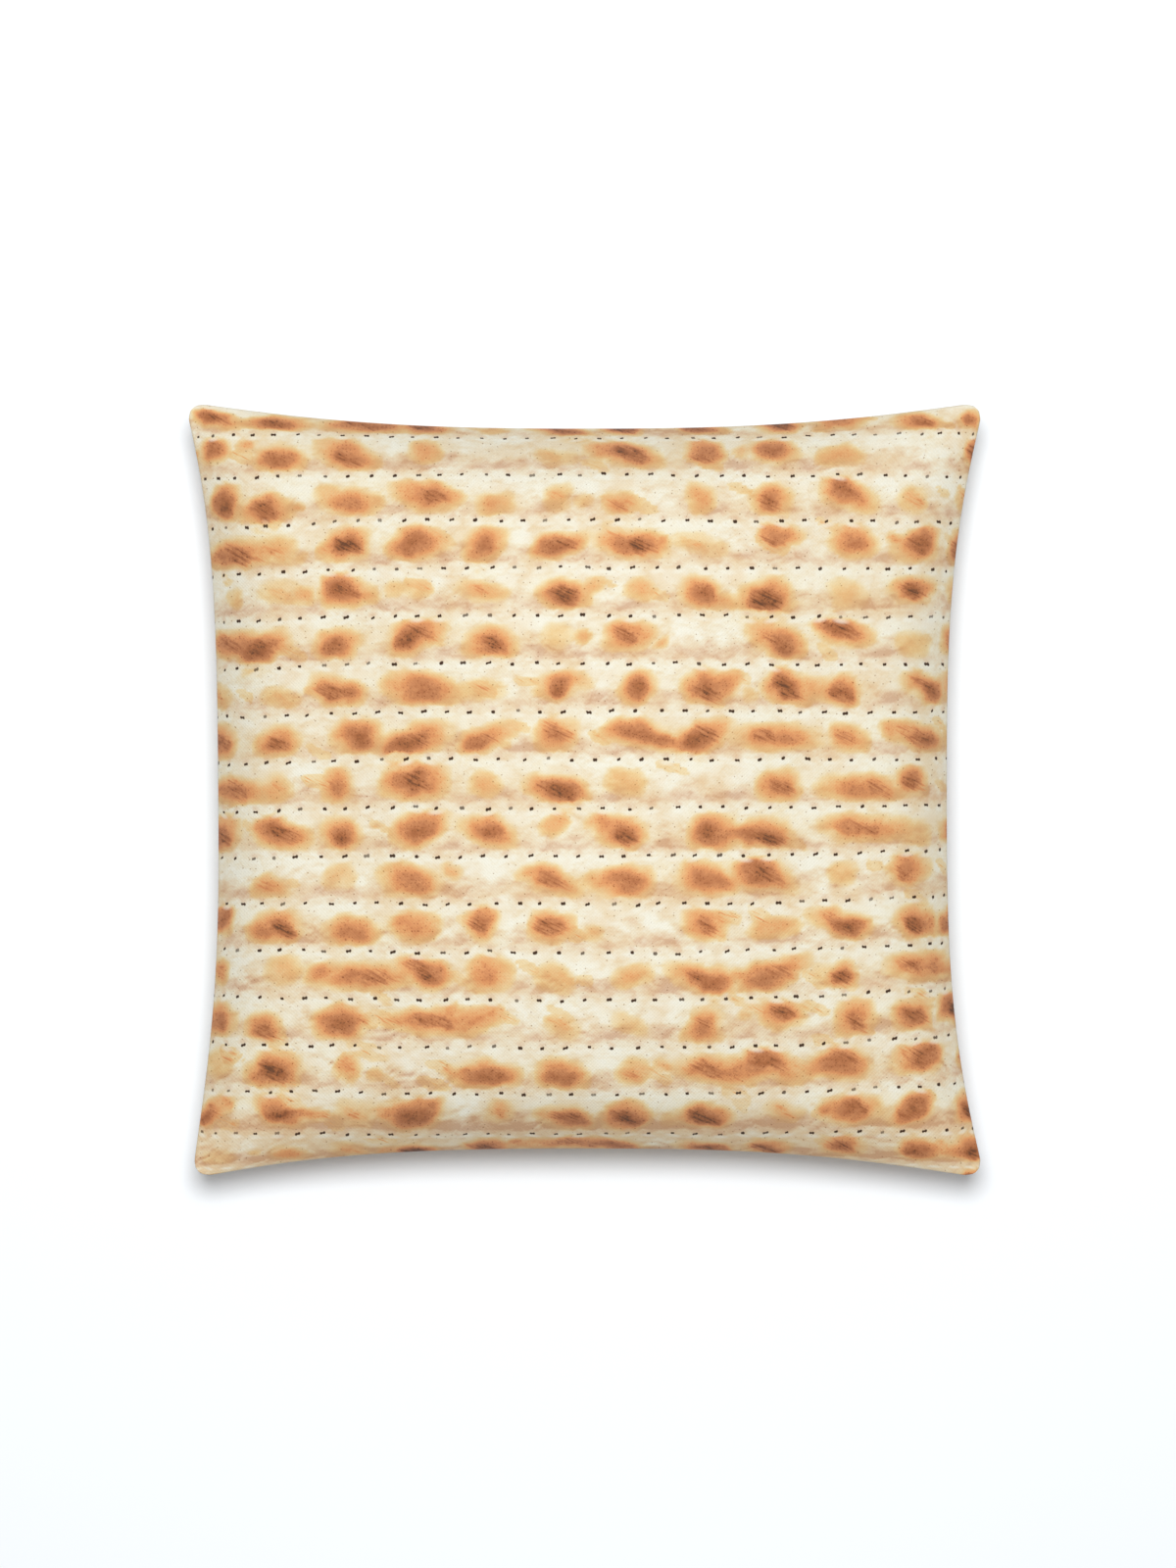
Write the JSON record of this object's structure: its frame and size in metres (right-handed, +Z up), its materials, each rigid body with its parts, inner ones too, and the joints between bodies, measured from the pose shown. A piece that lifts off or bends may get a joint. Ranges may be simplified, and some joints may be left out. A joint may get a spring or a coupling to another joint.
{
  "type": "throw cushion",
  "caption": "Square stuffed throw cushion with knife-edge seams and an all-over print of toasted, perforated flatbread, lying on its back.",
  "frame": {"origin": "on the flat spot underneath, under the middle of the cushion", "axes": "+Z up through the printed face, +X to the right of the print, +Y to the print's top edge"},
  "size_m": [0.4494, 0.4376, 0.1228],
  "materials": {
    "printed_cloth": "matte woven polyester, printed all over in cream with toasted brown patches and rows of small dark marks"
  },
  "bodies": {
    "root": {"cushion": "printed_cloth"}
  },
  "joints": []
}
